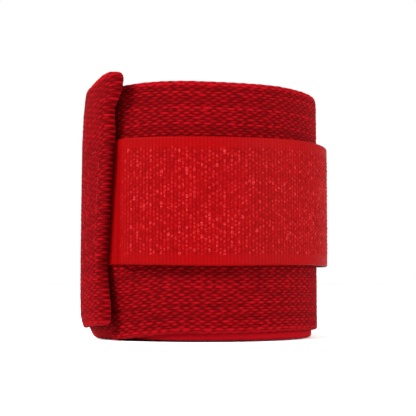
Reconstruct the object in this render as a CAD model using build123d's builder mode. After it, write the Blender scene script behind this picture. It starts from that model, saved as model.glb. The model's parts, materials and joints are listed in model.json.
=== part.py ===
from build123d import *
import math
import os

# A cotton hand wrap, rolled up and standing on its end, in millimetres.
# The roll's axis is Z, the front is -Y, and the inner turns stand on the plane z = 0.
# Angles are in degrees, anticlockwise from +X seen from above.
# The band runs anticlockwise as it goes outwards, and so does the strap.

# Woven band
band_width = 50.0
band_thickness = 1.1
turn_gap = 0.14  # air between one turn and the next
core_radius = 1.0  # inside of the innermost half turn
plain_half_turns = 25  # half turns wound on after those that hold the thumb loop

# Thumb loop, folded flat between the first turns
loop_half_turns = 4
loop_tape_thickness = 1.1
loop_slot = 0.12  # between the two layers of the flattened loop
loop_width = 25.0

# How far the outermost turn has crept up the roll
front_rise = 1.8
hem_rise = 4.4

# Where the outermost turn passes from one half to the next, at its back right
turn_seam_angle = 43.0

# End of the band
hem_length = 10.0
hem_layers = 2
hem_layer_gap = 0.05
flap_hinge_angle = 155.0
hem_edge_angle = 227.5

# Hook tape strap
strap_width = 25.4
strap_drop = 1.5  # how far the strap's middle lies below the hem's middle
strap_thickness = 0.6
strap_length = 125.0  # from the hem's edge to the tip, along the outside
strap_corner = 4.0
ramp_length = 3.6  # where the strap climbs from under the hem on to its hooks
front_lengths = 6
back_lengths = 3
hook_height = 1.5
hook_margin = 2.4  # plain edge of the tape above and below the hooks
strap_clearance = 0.15  # between the strap and the band under it
root_length = 9.0
hem_clearance = 0.1  # between the strap's root and the hem over it

# Loop patch
patch_width = 30.0
patch_thickness = 0.8
patch_clearance = 0.05
patch_start_angle = 47.0
patch_end_angle = 148.0

# Thread
thread_width = 0.4
thread_height = 0.25
stitch_length = 2.2
stitch_pitch = 3.0
thread_clearance = 0.03
seam_margin = 1.6  # from a cloth edge to the row of stitches
tack_count = 3  # whip stitches over each edge of the thumb loop

# Worked out from the sizes above
turn_step = (band_thickness + turn_gap) / 2
loop_thickness = 2 * loop_tape_thickness + loop_slot
loop_step = (band_thickness + 2 * turn_gap + loop_thickness) / 2
outer_index = loop_half_turns + plain_half_turns
strap_middle = hem_rise + band_width / 2 - strap_drop
strap_bottom = strap_middle - strap_width / 2
strap_top = strap_middle + strap_width / 2
hem_thickness = hem_layers * band_thickness + (hem_layers - 1) * hem_layer_gap


def unit(angle):
    """The direction of an angle in the plan."""
    return Vector(math.cos(math.radians(angle)), math.sin(math.radians(angle)))


def sweep_angle(length, radius):
    """The angle that a length covers on a circle."""
    return math.degrees(length / radius)


# The band is a spiral of half turns, each a semicircle. The centre moves at each half turn by as
# much as the radius grows, so that the curve and its tangent run on unbroken.
def half_turn_radius(index):
    """Inside radius of the band on a half turn, counted from the core."""
    return (
        core_radius
        + loop_step * min(index, loop_half_turns)
        + turn_step * max(index - loop_half_turns, 0)
    )


def half_turn_start(index):
    """Angle at which a half turn starts: odd ones run round the front, even ones round the back."""
    return turn_seam_angle if (index - outer_index) % 2 else turn_seam_angle + 180


def half_turn_centre(index):
    """Centre of a half turn. The outermost one round the front is centred on the roll's axis."""
    centre = Vector(0, 0)
    low = min(index, outer_index)
    for step in range(low, max(index, outer_index)):
        growth = half_turn_radius(step + 1) - half_turn_radius(step)
        shift = unit(half_turn_start(step + 1)) * growth
        centre = centre - shift if index > outer_index else centre + shift
    return centre


front_centre = half_turn_centre(outer_index)
back_centre = half_turn_centre(outer_index + 1)
front_radius = half_turn_radius(outer_index) + band_thickness  # outside of the band, front half
back_radius = half_turn_radius(outer_index + 1) + band_thickness  # outside of the band, back half


def spiral_point(offset, index, at_end=False):
    """A point on the line that lies an offset outside the band's inner face."""
    angle = half_turn_start(index) + (180 if at_end else 0)
    return half_turn_centre(index) + unit(angle) * (half_turn_radius(index) + offset)


def spiral_edge(offset, first, last):
    """Draws the semicircles that lie an offset outside the band's inner face."""
    for index in range(first, last + 1):
        centre = half_turn_centre(index)
        radius = half_turn_radius(index) + offset
        CenterArc((centre.X, centre.Y), radius, half_turn_start(index), 180)


def spiral_strip(low_offset, high_offset, first, last, mode=Mode.ADD):
    """Adds to the sketch in hand a strip that follows the spiral."""
    with BuildLine() as outline:
        spiral_edge(low_offset, first, last)
        spiral_edge(high_offset, first, last)
        Line(spiral_point(low_offset, first), spiral_point(high_offset, first))
        Line(spiral_point(low_offset, last, True), spiral_point(high_offset, last, True))
    make_face(outline.edges(), mode=mode)


def arc_strip(centre, low_radius, high_radius, start, end):
    """Adds to the sketch in hand a strip between two circles and two radial lines."""
    with BuildLine() as outline:
        CenterArc((centre.X, centre.Y), low_radius, start, end - start)
        CenterArc((centre.X, centre.Y), high_radius, start, end - start)
        Line(centre + unit(start) * low_radius, centre + unit(start) * high_radius)
        Line(centre + unit(end) * low_radius, centre + unit(end) * high_radius)
    make_face(outline.edges())


# The outermost turn climbs the roll over its back half, so its edges there lie in two sloping
# planes, a band's width apart, that rise towards the hem.
rise_direction = unit(turn_seam_angle + 180)
mean_rise = (front_rise + hem_rise) / 2
rise_slope = (hem_rise - front_rise) / 2 / back_radius
rise_normal = Vector(-rise_slope * rise_direction.X, -rise_slope * rise_direction.Y, 1)
lower_edge_plane = Plane(origin=(0, 0, mean_rise), z_dir=rise_normal)
upper_edge_plane = Plane(origin=(0, 0, mean_rise + band_width), z_dir=rise_normal)
rise_room = hem_rise + 1  # spare height, cut away again by the sloping planes


def rise_at(angle, radius):
    """Height of the outermost turn's lower edge above the floor, on its sloping half."""
    return mean_rise + rise_slope * radius * rise_direction.dot(unit(angle))


def trim_to_rise():
    """Cuts the part in hand down to the two sloping planes."""
    split(bisect_by=lower_edge_plane, keep=Keep.TOP)
    split(bisect_by=upper_edge_plane, keep=Keep.BOTTOM)


parts = []


def finish(builder, name):
    """Labels a sub-part and writes it to its own file."""
    builder.part.label = name
    parts.append(builder.part)
    export_step(builder.part, f"parts/{name}.step")


os.makedirs("parts", exist_ok=True)

# ---- The roll -------------------------------------------------------------------------------

with BuildPart() as inner_turns:
    with BuildSketch(Plane.XY):
        spiral_strip(0, band_thickness, 0, outer_index - 1)
    extrude(amount=band_width)
finish(inner_turns, "inner_turns")

# The thumb loop is one tape, doubled: it is sewn to the band where the spiral starts and its fold
# lies further out, between two turns.
loop_inside = band_thickness + turn_gap
loop_outside = loop_inside + loop_thickness
loop_first = 0
loop_last = loop_half_turns - 2
loop_bottom = (band_width - loop_width) / 2

with BuildPart() as thumb_loop:
    with BuildSketch(Plane.XY.offset(loop_bottom)):
        spiral_strip(loop_inside, loop_outside, loop_first, loop_last)
        spiral_strip(
            loop_inside + loop_tape_thickness,
            loop_outside - loop_tape_thickness,
            loop_first,
            loop_last - 1,
            Mode.SUBTRACT,
        )
    extrude(amount=loop_width)
finish(thumb_loop, "thumb_loop")

with BuildPart() as back_half:
    with BuildSketch(Plane.XY):
        arc_strip(
            back_centre,
            back_radius - band_thickness,
            back_radius,
            turn_seam_angle,
            flap_hinge_angle,
        )
    extrude(amount=band_width + rise_room)
    trim_to_rise()

with BuildPart() as outer_turn:
    with BuildSketch(Plane.XY.offset(front_rise)):
        arc_strip(
            front_centre,
            front_radius - band_thickness,
            front_radius,
            turn_seam_angle - 180,
            turn_seam_angle,
        )
    extrude(amount=band_width)
    add(back_half.part)
finish(outer_turn, "outer_turn")

# The loop patch lies on the outermost turn, round the back, where the strap's tip comes down.
patch_radius = back_radius + patch_clearance

with BuildPart() as loop_patch:
    with BuildSketch(Plane.XY.offset(strap_middle - patch_width / 2)):
        arc_strip(
            back_centre,
            patch_radius,
            patch_radius + patch_thickness,
            patch_start_angle,
            patch_end_angle,
        )
    extrude(amount=patch_width)
finish(loop_patch, "loop_patch")


# ---- Thread ---------------------------------------------------------------------------------


def upright_stitches(centre, surface_radius, angle, bottom, top):
    """Adds a row of upright stitches that lie on a round surface."""
    count = int((top - bottom - stitch_length) / stitch_pitch) + 1
    first = (bottom + top - (count - 1) * stitch_pitch) / 2
    for number in range(count):
        middle = centre + unit(angle) * (surface_radius + thread_clearance)
        with Locations(Location((middle.X, middle.Y, first + number * stitch_pitch), (0, 0, angle))):
            Box(thread_height, thread_width, stitch_length, align=stitch_align)


def level_stitches(centre, surface_radius, height, start, end):
    """Adds a row of stitches that run level round a round surface."""
    radius = surface_radius + thread_clearance
    pitch = sweep_angle(stitch_pitch, radius)
    reach = sweep_angle(stitch_length, radius)
    count = int((end - start - reach) / pitch) + 1
    first = (start + end - (count - 1) * pitch) / 2
    for number in range(count):
        angle = first + number * pitch
        with BuildSketch(Plane.XY.offset(height - thread_width / 2)) as stitch:
            arc_strip(centre, radius, radius + thread_height, angle - reach / 2, angle + reach / 2)
        extrude(stitch.sketch, amount=thread_width)


stitch_align = (Align.MIN, Align.CENTER, Align.CENTER)
patch_face_radius = patch_radius + patch_thickness
patch_bottom = strap_middle - patch_width / 2
patch_top = strap_middle + patch_width / 2
patch_margin_angle = sweep_angle(seam_margin, patch_face_radius)

with BuildPart() as patch_stitching:
    for edge_angle in (
        patch_start_angle + patch_margin_angle,
        patch_end_angle - patch_margin_angle,
    ):
        upright_stitches(
            back_centre,
            patch_face_radius,
            edge_angle,
            patch_bottom + seam_margin + stitch_pitch,
            patch_top - seam_margin - stitch_pitch,
        )
    for height in (patch_bottom + seam_margin / 2, patch_top - seam_margin / 2):
        level_stitches(
            back_centre,
            patch_face_radius,
            height,
            patch_start_angle + patch_margin_angle,
            patch_end_angle - patch_margin_angle,
        )
finish(patch_stitching, "patch_stitching")

# ---- The end of the band: a single layer that can be lifted, then the doubled hem ------------

root_radius = front_radius + strap_clearance
hem_inside = root_radius + strap_thickness + hem_clearance
hem_outside = hem_inside + hem_thickness
hem_start_angle = hem_edge_angle - sweep_angle(hem_length, hem_outside)
fold_angle = hem_edge_angle - sweep_angle(hem_thickness / 2, hem_outside)
hem_corner = front_centre + unit(hem_start_angle) * hem_outside

# The flap leaves the roll on the tangent that meets the hem's outer corner.
to_hem_corner = hem_corner - back_centre
corner_angle = math.degrees(math.atan2(to_hem_corner.Y, to_hem_corner.X)) % 360
leave_angle = corner_angle - math.degrees(math.acos(back_radius / to_hem_corner.length))
slanted_thickness = band_thickness / math.cos(math.radians(hem_start_angle - leave_angle))

with BuildPart() as end_flap:
    with BuildSketch(Plane.XY):
        arc_strip(
            back_centre,
            back_radius - band_thickness,
            back_radius,
            flap_hinge_angle,
            leave_angle,
        )
        with BuildLine():
            Polyline(
                back_centre + unit(leave_angle) * back_radius,
                hem_corner,
                hem_corner - unit(hem_start_angle) * slanted_thickness,
                back_centre + unit(leave_angle) * (back_radius - band_thickness),
                close=True,
            )
        make_face()
    extrude(amount=band_width + rise_room)
    trim_to_rise()
finish(end_flap, "end_flap")

with BuildPart() as end_hem:
    with BuildSketch(Plane.XY):
        arc_strip(front_centre, hem_inside, hem_outside, hem_start_angle, fold_angle)
        fold_centre = front_centre + unit(fold_angle) * (hem_inside + hem_thickness / 2)
        with Locations(Location((fold_centre.X, fold_centre.Y))):
            Circle(hem_thickness / 2)
    extrude(amount=band_width + rise_room)
    trim_to_rise()
finish(end_hem, "end_hem")

hem_seam_angle = hem_start_angle + sweep_angle(seam_margin, hem_outside)
hem_bottom = rise_at(hem_seam_angle, hem_outside)

with BuildPart() as hem_stitching:
    upright_stitches(
        front_centre,
        hem_outside,
        hem_seam_angle,
        hem_bottom + seam_margin,
        hem_bottom + band_width - seam_margin,
    )
finish(hem_stitching, "hem_stitching")

# The strap's bare root is sewn to the inside of the hem, by a box of stitches that shows outside.
strap_start_angle = hem_edge_angle + sweep_angle(hem_clearance, root_radius)
root_start_angle = strap_start_angle - sweep_angle(root_length, root_radius)
box_start_angle = hem_seam_angle + sweep_angle(seam_margin, hem_outside)
box_end_angle = fold_angle - sweep_angle(seam_margin, hem_outside)

with BuildPart() as strap_root:
    with BuildSketch(Plane.XY.offset(strap_bottom)):
        arc_strip(
            front_centre,
            root_radius,
            root_radius + strap_thickness,
            root_start_angle,
            strap_start_angle,
        )
    extrude(amount=strap_width)
finish(strap_root, "strap_root")

with BuildPart() as root_stitching:
    for edge_angle in (box_start_angle, box_end_angle):
        upright_stitches(
            front_centre,
            hem_outside,
            edge_angle,
            strap_bottom + 2 * seam_margin,
            strap_top - 2 * seam_margin,
        )
    for height in (strap_bottom + seam_margin, strap_top - seam_margin):
        level_stitches(front_centre, hem_outside, height, box_start_angle, box_end_angle)
finish(root_stitching, "root_stitching")

# The thumb loop's end is whipped to the band, with thread over the loop tape's two edges.
tack_inside = half_turn_radius(0) + band_thickness + thread_clearance
tack_outside = half_turn_radius(0) + loop_outside
thread_angle = sweep_angle(thread_width, tack_outside)
tack_low_bottom = loop_bottom - thread_clearance - thread_width
tack_high_bottom = loop_bottom + loop_width + thread_clearance

with BuildPart() as thumb_loop_tack:
    for number in range(tack_count):
        angle = half_turn_start(0) + (2 * number + 1) * thread_angle
        for height in (tack_low_bottom, tack_high_bottom):
            with BuildSketch(Plane.XY.offset(height)) as tack:
                arc_strip(half_turn_centre(0), tack_inside, tack_outside, angle, angle + thread_angle)
            extrude(tack.sketch, amount=thread_width)
finish(thumb_loop_tack, "thumb_loop_tack")

# ---- The hook strap, in straight-ended lengths that open like a chain -------------------------

front_step = (turn_seam_angle + 360 - strap_start_angle) / front_lengths
front_strap_radius = front_radius + strap_clearance + hook_height + strap_thickness
back_strap_radius = front_strap_radius + turn_step
front_strap_length = math.radians(front_step * front_lengths) * front_strap_radius
back_step = sweep_angle(strap_length - front_strap_length, back_strap_radius) / back_lengths
ramp_angle = sweep_angle(ramp_length, root_radius)
patch_pile = patch_clearance + patch_thickness + thread_clearance + thread_height
tip_angle = turn_seam_angle + back_lengths * back_step


def strap_length_ends(number):
    """Centre, outer radius and the two end angles of one length of the strap."""
    if number <= front_lengths:
        start = strap_start_angle + (number - 1) * front_step
        return front_centre, front_strap_radius, start, start + front_step
    start = turn_seam_angle + (number - 1 - front_lengths) * back_step
    return back_centre, back_strap_radius, start, start + back_step


def strap_tape(number):
    """Adds to the sketch in hand the tape of one length of the strap."""
    centre, radius, start, end = strap_length_ends(number)
    if number == 1:
        ramp_end = start + ramp_angle
        arc_strip(centre, radius - strap_thickness, radius, ramp_end, end)
        with BuildLine() as ramp:
            Polyline(
                centre + unit(start) * root_radius,
                centre + unit(start) * (root_radius + strap_thickness),
                centre + unit(ramp_end) * radius,
                centre + unit(ramp_end) * (radius - strap_thickness),
                close=True,
            )
        make_face(ramp.edges())
    else:
        arc_strip(centre, radius - strap_thickness, radius, start, end)


def hook_field(number):
    """Adds to the sketch in hand the hooks of one length. Over the patch they sink into its loops."""
    centre, radius, start, end = strap_length_ends(number)
    pile = patch_pile if number > front_lengths else 0
    hook_root = radius - strap_thickness
    if number == 1:
        start = start + ramp_angle
    if number == front_lengths + back_lengths:
        end = end - sweep_angle(hook_margin, radius)
    arc_strip(centre, hook_root - hook_height + pile, hook_root, start, end)


for number in range(1, front_lengths + back_lengths + 1):
    is_tip = number == front_lengths + back_lengths
    name = "tip" if is_tip else str(number)

    with BuildPart() as strap:
        with BuildSketch(Plane.XY.offset(strap_bottom)):
            strap_tape(number)
        extrude(amount=strap_width)
        if is_tip:
            across = Axis((0, 0, 0), (unit(tip_angle + 90).X, unit(tip_angle + 90).Y, 0))
            short_edges = strap.edges().filter_by(lambda e: abs(e.length - strap_thickness) < 1e-4)
            fillet(short_edges.sort_by(across)[-2:], radius=strap_corner)
    finish(strap, f"strap_tape_{name}")

    with BuildPart() as hooks:
        with BuildSketch(Plane.XY.offset(strap_bottom + hook_margin)):
            hook_field(number)
        extrude(amount=strap_width - 2 * hook_margin)
    finish(hooks, f"hook_field_{name}")

# Hinges, for the record: the flap's line on the roll, and each strap joint on the tape's outside
flap_line = back_centre + unit(flap_hinge_angle) * back_radius
print(f"flap hinge {flap_line.X:.4f} {flap_line.Y:.4f}")
for number in range(1, front_lengths + back_lengths + 1):
    centre, radius, start, end = strap_length_ends(number)
    if number == 1:
        radius = root_radius + strap_thickness
    line = centre + unit(start) * radius
    print(f"strap joint {number} {line.X:.4f} {line.Y:.4f} covers {end - start:.2f} degrees")
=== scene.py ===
import json
import math

import bpy
import numpy as np
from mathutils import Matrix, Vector


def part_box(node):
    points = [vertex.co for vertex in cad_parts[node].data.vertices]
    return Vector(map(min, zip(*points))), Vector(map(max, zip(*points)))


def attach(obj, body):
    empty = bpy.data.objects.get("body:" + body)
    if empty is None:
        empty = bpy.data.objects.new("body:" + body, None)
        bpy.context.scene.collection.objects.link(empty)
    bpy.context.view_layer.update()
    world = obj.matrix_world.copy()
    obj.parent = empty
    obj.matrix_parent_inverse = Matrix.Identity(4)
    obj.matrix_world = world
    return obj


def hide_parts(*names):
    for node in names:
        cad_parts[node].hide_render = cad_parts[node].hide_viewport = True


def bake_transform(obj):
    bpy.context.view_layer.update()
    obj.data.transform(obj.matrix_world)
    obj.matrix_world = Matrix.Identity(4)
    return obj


# A rolled cotton hand wrap. Lengths are in metres, angles in radians anticlockwise from +X seen
# from above, and the roll's axis is Z. The cloth is built as ribbons that follow plan paths, with
# every yarn of the weave raised in the mesh.
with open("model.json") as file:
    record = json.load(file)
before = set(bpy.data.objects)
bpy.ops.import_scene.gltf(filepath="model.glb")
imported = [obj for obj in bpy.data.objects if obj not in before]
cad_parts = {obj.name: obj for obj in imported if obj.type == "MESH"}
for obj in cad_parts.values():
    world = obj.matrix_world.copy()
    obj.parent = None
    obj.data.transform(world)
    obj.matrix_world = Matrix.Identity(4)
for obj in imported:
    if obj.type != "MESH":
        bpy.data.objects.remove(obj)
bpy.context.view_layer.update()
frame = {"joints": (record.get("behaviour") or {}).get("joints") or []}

MM = 0.001


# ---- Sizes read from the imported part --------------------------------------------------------

joints = {joint["name"]: joint for joint in frame["joints"]}


def joint_line(name):
    """The plan position of a joint's axis."""
    return np.array(joints[name]["pos_m"][:2])


BAND_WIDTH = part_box("inner_turns")[1].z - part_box("inner_turns")[0].z
BAND_THICKNESS = 1.1 * MM
TURN_GAP = 0.14 * MM
TURN_STEP = (BAND_THICKNESS + TURN_GAP) / 2
SEAM_ANGLE = math.radians(43)
FRONT_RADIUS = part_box("outer_turn")[1].x
BACK_RADIUS = FRONT_RADIUS + TURN_STEP
FRONT_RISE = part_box("outer_turn")[0].z
HEM_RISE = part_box("end_hem")[0].z
STRAP_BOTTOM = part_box("strap_root")[0].z
STRAP_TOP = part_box("strap_root")[1].z
STRAP_THICKNESS = 0.6 * MM
HOOK_HEIGHT = 1.5 * MM
STRAP_CLEARANCE = 0.15 * MM
HOOK_MARGIN = 2.4 * MM
PATCH_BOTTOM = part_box("loop_patch")[0].z
PATCH_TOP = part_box("loop_patch")[1].z
PATCH_THICKNESS = 0.8 * MM
STRAP_LENGTHS = 9


def unit(angle):
    """The direction of an angle in the plan."""
    return np.array([math.cos(angle), math.sin(angle)])


def bearing(point, centre):
    """The angle of a point seen from a centre, from 0 to a full turn."""
    away = point - centre
    return math.atan2(away[1], away[0]) % math.tau


FRONT_CENTRE = np.zeros(2)
BACK_CENTRE = -unit(SEAM_ANGLE) * TURN_STEP


# ---- Plan paths -----------------------------------------------------------------------------

PLAN_STEP = 0.05 * MM


def arc_points(centre, radius, start, end):
    """Points along an arc, from one angle to another."""
    count = max(3, int(abs(end - start) * radius / PLAN_STEP))
    angle = np.linspace(start, end, count)
    return centre + radius * np.stack([np.cos(angle), np.sin(angle)], 1)


def line_points(start, end):
    """Points along a straight line."""
    count = max(3, int(np.linalg.norm(end - start) / PLAN_STEP))
    return start + (end - start) * np.linspace(0, 1, count)[:, None]


def smoothed(points, reach):
    """The same line with its corners eased over a reach either side."""
    window = int(reach / PLAN_STEP) * 2 + 1
    ends = np.concatenate(
        [
            2 * points[0] - points[window // 2 : 0 : -1],
            points,
            2 * points[-1] - points[-2 : -window // 2 - 1 : -1],
        ]
    )
    kernel = np.hanning(window + 2)[1:-1]
    kernel /= kernel.sum()
    return np.stack([np.convolve(ends[:, axis], kernel, "valid") for axis in (0, 1)], 1)


class Path:
    """A line in the plan, measured by length. Its outward side is on its right."""

    def __init__(self, *stretches):
        points = np.concatenate(stretches)
        keep = np.ones(len(points), bool)
        keep[1:] = np.linalg.norm(np.diff(points, axis=0), axis=1) > PLAN_STEP / 20
        self.points = points[keep]
        steps = np.linalg.norm(np.diff(self.points, axis=0), axis=1)
        self.lengths = np.concatenate([[0], np.cumsum(steps)])
        self.length = self.lengths[-1]
        self.headings = np.gradient(self.points, self.lengths, axis=0)

    def at(self, s):
        """Points and outward normals at given lengths."""
        place = np.stack([np.interp(s, self.lengths, self.points[:, a]) for a in (0, 1)], -1)
        heading = np.stack([np.interp(s, self.lengths, self.headings[:, a]) for a in (0, 1)], -1)
        heading /= np.linalg.norm(heading, axis=-1, keepdims=True)
        return place, np.stack([heading[..., 1], -heading[..., 0]], -1)

    def nearest(self, point):
        """The length at which the path comes nearest to a point."""
        return self.lengths[np.argmin(np.linalg.norm(self.points - point, axis=1))]


def ease(x):
    """Rises smoothly from 0 to 1 as x goes from 0 to 1."""
    x = np.clip(x, 0, 1)
    return x * x * (3 - 2 * x)


# ---- Ribbons --------------------------------------------------------------------------------


def rows_across(flat, step, depth=None):
    """Heights across a ribbon's face: a step apart, or only so within a depth of each edge."""
    if depth is None:
        return np.linspace(0, flat, int(flat / step) + 1)
    fine = np.linspace(0, depth, int(depth / step) + 1)
    middle = np.linspace(depth, flat - depth, 6)[1:-1]
    return np.concatenate([fine, middle, flat - fine[::-1]])


def ribbon_profile(width, thickness, outer, inner):
    """The closed outline of a ribbon's section: offset, height and the two parts of the normal of
    each point, and its running length. outer and inner are the step and depth of each face."""
    r = thickness / 2
    flat = width - 2 * r
    turn = np.linspace(0, math.pi, 9)[1:-1]
    rows = [(r, r + height, 1, 0) for height in rows_across(flat, *outer)]
    rows += [(r * math.cos(a), width - r + r * math.sin(a), math.cos(a), math.sin(a)) for a in turn]
    rows += [(-r, r + height, -1, 0) for height in rows_across(flat, *inner)[::-1]]
    rows += [(-r * math.cos(a), r - r * math.sin(a), -math.cos(a), -math.sin(a)) for a in turn]
    rows = np.array(rows)
    steps = np.linalg.norm(np.diff(rows[:, :2], axis=0), axis=1)
    return rows, np.concatenate([[0], np.cumsum(steps)])


def mesh_object(name, points, loops, sizes, facts):
    """A mesh from points and faces. loops lists the faces' corners, one face after another, and
    sizes how many each face has. Faces of four corners are smooth and end caps are flat. facts is
    stored on the points as "cloth", and holds the length and the running length in millimetres,
    and how light the yarn is."""
    mesh = bpy.data.meshes.new(name)
    mesh.vertices.add(points.size // 3)
    mesh.vertices.foreach_set("co", points.reshape(-1).astype(np.float32))
    mesh.loops.add(len(loops))
    mesh.loops.foreach_set("vertex_index", loops.astype(np.int32))
    mesh.polygons.add(len(sizes))
    starts = np.concatenate([[0], np.cumsum(sizes)[:-1]])
    mesh.polygons.foreach_set("loop_start", starts.astype(np.int32))
    mesh.polygons.foreach_set("use_smooth", sizes == 4)
    mesh.update(calc_edges=True)
    mesh.validate()
    cloth = mesh.attributes.new("cloth", "FLOAT_VECTOR", "POINT")
    cloth.data.foreach_set("vector", facts.reshape(-1).astype(np.float32))
    made = bpy.data.objects.new(name, mesh)
    bpy.context.scene.collection.objects.link(made)
    return made


def grid_object(name, points, facts):
    """A closed mesh from a grid of points: rows along a ribbon and columns round its section."""
    n, m = points.shape[:2]
    index = np.arange(n * m).reshape(n, m)
    following = np.roll(index, -1, axis=1)
    quads = np.stack([index[:-1], index[1:], following[1:], following[:-1]], -1)
    loops = np.concatenate([quads.reshape(-1), index[0], index[-1][::-1]])
    sizes = np.concatenate([np.full(quads.size // 4, 4), [m, m]])
    return mesh_object(name, points, loops, sizes, facts)


def in_space(plan, height):
    """Plan points and heights as points in space."""
    return np.concatenate([plan, np.broadcast_to(height, plan.shape[:-1])[..., None]], -1)


def on_cloth(path, drape, s, height, across):
    """Points in space of a cloth that stands on a plan path, from lengths along it, heights in it
    and distances out from its middle."""
    place, outward = path.at(s)
    level, lean, slide = drape(s, height)
    radial = place / np.linalg.norm(place, axis=-1, keepdims=True)
    along = np.stack([-radial[..., 1], radial[..., 0]], -1)
    plan = place + outward * across[..., None] + radial * lean[..., None] + along * slide[..., None]
    return in_space(plan, level + height)


def ribbon(name, path, s, profile, relief, drape):
    """A ribbon that stands on a plan path. relief gives how far each yarn stands out of the cloth
    and drape gives, for a length and a height in the cloth, its height above the floor and how far
    it leans outwards and slides along."""
    rows, run = profile
    s = np.asarray(s, float)
    length, height = np.meshgrid(s, rows[:, 1], indexing="ij")
    raised, tone = relief(length, np.broadcast_to(run, length.shape), rows[None, :, 2], height)
    points = on_cloth(path, drape, length, height, rows[None, :, 0] + rows[None, :, 2] * raised)
    points[..., 2] += rows[None, :, 3] * raised
    facts = np.stack([length / MM, np.broadcast_to(run, length.shape) / MM, tone], -1)
    return grid_object(name, points, facts)


# ---- Weaves ---------------------------------------------------------------------------------

WARP_PITCH = 0.52 * MM
FLOAT_PERIOD = 2.14 * MM
WARP_HEIGHT = 0.17 * MM
WARP_COUNT = 400

draw = np.random.default_rng(7)
warp_shift = draw.normal(0, 0.05, WARP_COUNT)
warp_bulk = draw.normal(1, 0.1, WARP_COUNT)
warp_wander = draw.uniform(0, math.tau, (WARP_COUNT, 2))
GRAIN_SIZE = 512
grain_table = draw.random((GRAIN_SIZE, GRAIN_SIZE))


def grain(s, c, pitch):
    """Smooth random values over the cloth, from 0 to 1, that change over about a pitch."""
    x, y = s / pitch, c / pitch
    i, j = np.floor(x).astype(int), np.floor(y).astype(int)
    fx, fy = ease(x - i), ease(y - j)
    ends = [(i + a, j + b) for a in (0, 1) for b in (0, 1)]
    corner = [grain_table[a % GRAIN_SIZE, b % GRAIN_SIZE] for a, b in ends]
    low = corner[0] * (1 - fy) + corner[1] * fy
    high = corner[2] * (1 - fy) + corner[3] * fy
    return low * (1 - fx) + high * fx


def plain_weave(s, c):
    """Height of a warp-faced plain weave, and how light each point of it is painted: lighter the
    higher the yarn stands, which is painted shade and painted highlight, with random differences from
    yarn to yarn.
    """
    across = c / WARP_PITCH + 0.24 * (grain(s, c, 1.3 * MM) - 0.5)
    number = np.floor(across).astype(int) % WARP_COUNT
    offset = across - np.floor(across) - 0.5
    wander = 0.06 * np.sin(s / (9 * MM) * math.tau + warp_wander[number, 0])
    wander = wander + 0.05 * np.sin(s / (3.7 * MM) * math.tau + warp_wander[number, 1])
    phase = s / FLOAT_PERIOD + number * 0.5 + warp_shift[number] + wander
    phase = phase + 0.2 * (grain(s, c, 0.9 * MM) - 0.5)
    crest = 0.5 + 0.5 * np.cos(phase * math.tau)
    half_width = 0.47 + 0.1 * crest
    body = np.sqrt(np.clip(1 - (offset / half_width) ** 2, 0, 1))
    bulk = warp_bulk[number] * (0.82 + 0.36 * grain(s, c, 0.7 * MM))
    height = body * (0.36 + 0.64 * crest**0.75) * bulk
    return WARP_HEIGHT * (height - 0.5), np.clip(height, 0, 1.2)


def selvage(height, reach):
    """How near a point of the band is to one of its edges, from 0 to 1."""
    return ease((reach - np.minimum(height, BAND_WIDTH - height)) / (0.6 * reach))


def band_relief(s, c, side, height):
    """The band's weave. It runs on round the selvages, where it is closer and painted lighter, a
    painted highlight for the light that the band's edges catch from above and from the floor, and it
    is worn flatter on the flap and the hem."""
    raised, tone = plain_weave(s - (fold_s + fold_end_s) / 2, c)
    edge = selvage(height, 1.5 * MM)
    worn = ease((s - (hinge_s - JOIN)) / (8 * MM)) * (1 - ease((s - fold_s + 2 * MM) / (1.5 * MM)))
    # 0.3 * edge paints the selvages lighter: a painted highlight.
    return raised * (1 - 0.4 * worn), tone * (1 - 0.3 * worn) + 0.3 * edge + 0.22 * worn


# ---- The band: outermost turn, flap and hem ----------------------------------------------------

HEM_THICKNESS = 2 * BAND_THICKNESS + 0.05 * MM
HEM_CLEARANCE = 0.1 * MM
HEM_LENGTH = 10 * MM
ROOT_RADIUS = FRONT_RADIUS + STRAP_CLEARANCE
HEM_INSIDE = ROOT_RADIUS + STRAP_THICKNESS + HEM_CLEARANCE
HEM_OUTSIDE = HEM_INSIDE + HEM_THICKNESS
FOLD_RADIUS = (HEM_THICKNESS - BAND_THICKNESS) / 2

strap_start = bearing(joint_line("strap_peel"), FRONT_CENTRE)
hem_edge = strap_start - HEM_CLEARANCE / ROOT_RADIUS
fold_angle = hem_edge - HEM_THICKNESS / 2 / HEM_OUTSIDE
hem_start = hem_edge - HEM_LENGTH / HEM_OUTSIDE

back_middle = BACK_RADIUS - BAND_THICKNESS / 2
hem_middle = HEM_OUTSIDE - BAND_THICKNESS / 2
hem_corner = FRONT_CENTRE + unit(hem_start) * hem_middle
to_corner = hem_corner - BACK_CENTRE
leave_angle = bearing(hem_corner, BACK_CENTRE) - math.acos(back_middle / np.linalg.norm(to_corner))
fold_centre = FRONT_CENTRE + unit(fold_angle) * (hem_middle - FOLD_RADIUS)
CORNER_EASE = 2.5 * MM

band_line = smoothed(
    Path(
        arc_points(FRONT_CENTRE, FRONT_RADIUS - BAND_THICKNESS / 2, SEAM_ANGLE - math.pi, SEAM_ANGLE),
        arc_points(BACK_CENTRE, back_middle, SEAM_ANGLE, leave_angle),
        line_points(BACK_CENTRE + unit(leave_angle) * back_middle, hem_corner),
        arc_points(FRONT_CENTRE, hem_middle, hem_start, fold_angle),
    ).points,
    CORNER_EASE,
)
band_path = Path(
    band_line,
    arc_points(fold_centre, FOLD_RADIUS, fold_angle, fold_angle + math.pi),
    arc_points(FRONT_CENTRE, hem_middle - 2 * FOLD_RADIUS, fold_angle, hem_start),
)
hinge_s = band_path.nearest(joint_line("wrap_end_lift"))
hem_start_s = band_path.nearest(hem_corner)
fold_s = band_path.nearest(FRONT_CENTRE + unit(fold_angle) * hem_middle)
fold_end_s = fold_s + math.pi * FOLD_RADIUS
STRAP_MIDDLE = (STRAP_BOTTOM + STRAP_TOP) / 2

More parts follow.
